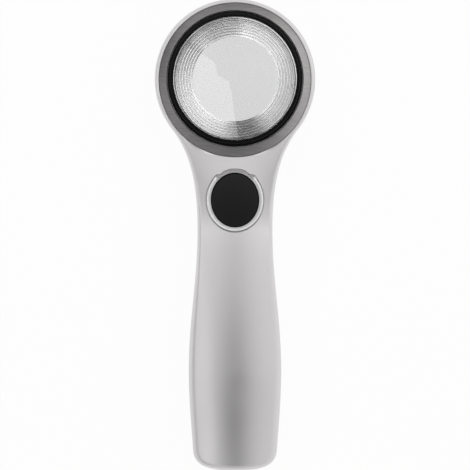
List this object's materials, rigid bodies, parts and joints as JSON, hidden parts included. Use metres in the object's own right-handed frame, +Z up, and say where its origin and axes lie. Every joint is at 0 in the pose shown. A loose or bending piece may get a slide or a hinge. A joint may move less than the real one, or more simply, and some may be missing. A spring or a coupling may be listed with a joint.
{
  "type": "illuminated hand lens",
  "caption": "Illuminated hand lens: a silver moulded handle with a thumb button and a sliding battery door, and a round head with a black-collared lens, a ribbed bright ring and a rear window.",
  "frame": {"origin": "under the middle of the overall length, on the flat back that the hand lens rests on", "axes": "+X across the handle, +Y along the handle towards the lens head, +Z up out of the lens"},
  "size_m": [0.0558, 0.1644, 0.0213],
  "materials": {
    "silver_paint": "satin metallic silver paint over moulded ABS",
    "gunmetal_aluminium": "turned and brushed round, dark anodised",
    "black_plastic": "moulded, semi-gloss black",
    "clear_lens": "polished clear",
    "bright_metal": "bright, with fine turned ribs",
    "black_rubber": "matt",
    "circuit_board": "green solder mask",
    "white_plastic": "moulded white",
    "grey_plastic": "moulded dark grey ABS",
    "plated_steel": "nickel plated",
    "cell_sleeve": "printed film sleeve, left plain",
    "red_wire": "PVC sleeve",
    "black_wire": "PVC sleeve"
  },
  "bodies": {
    "case": {"front_shell": "silver_paint", "rear_shell": "silver_paint", "bezel_ring": "gunmetal_aluminium", "lens_collar": "black_plastic", "front_lens": "clear_lens", "lens_seal": "black_rubber", "baffle_ring": "bright_metal", "led_board": "circuit_board", "led_1": "white_plastic", "led_2": "white_plastic", "led_3": "white_plastic", "led_4": "white_plastic", "led_5": "white_plastic", "led_6": "white_plastic", "rear_window": "clear_lens", "button_rim": "silver_paint", "button_spring": "plated_steel", "main_board": "circuit_board", "switch_body": "black_plastic", "driver_chip": "black_plastic", "battery_tray": "grey_plastic", "battery_left": "cell_sleeve", "battery_right": "cell_sleeve", "contact_positive": "plated_steel", "contact_negative": "plated_steel", "bridge_plate": "plated_steel", "contact_spring": "plated_steel", "bridge_spring": "plated_steel", "shell_screw_head_left": "plated_steel", "shell_screw_head_right": "plated_steel", "shell_screw_grip_left": "plated_steel", "shell_screw_grip_right": "plated_steel", "tray_screw": "plated_steel", "led_wire_positive": "red_wire", "led_wire_negative": "black_wire", "battery_wire_positive": "red_wire", "battery_wire_negative": "black_wire"},
    "button": {"button_cap": "black_plastic", "switch_plunger": "white_plastic"},
    "door": {"battery_door": "silver_paint"}
  },
  "joints": [
    {"name": "button_press", "type": "slide", "parent": "case", "child": "button", "axis": [0, 0, -1], "range_m": [0, 0.001], "stiffness_N_per_m": 1500, "deforming": ["button_spring"]},
    {"name": "door_slide", "type": "slide", "parent": "case", "child": "door", "axis": [0, -1, 0], "range_m": [0, 0.072]}
  ]
}
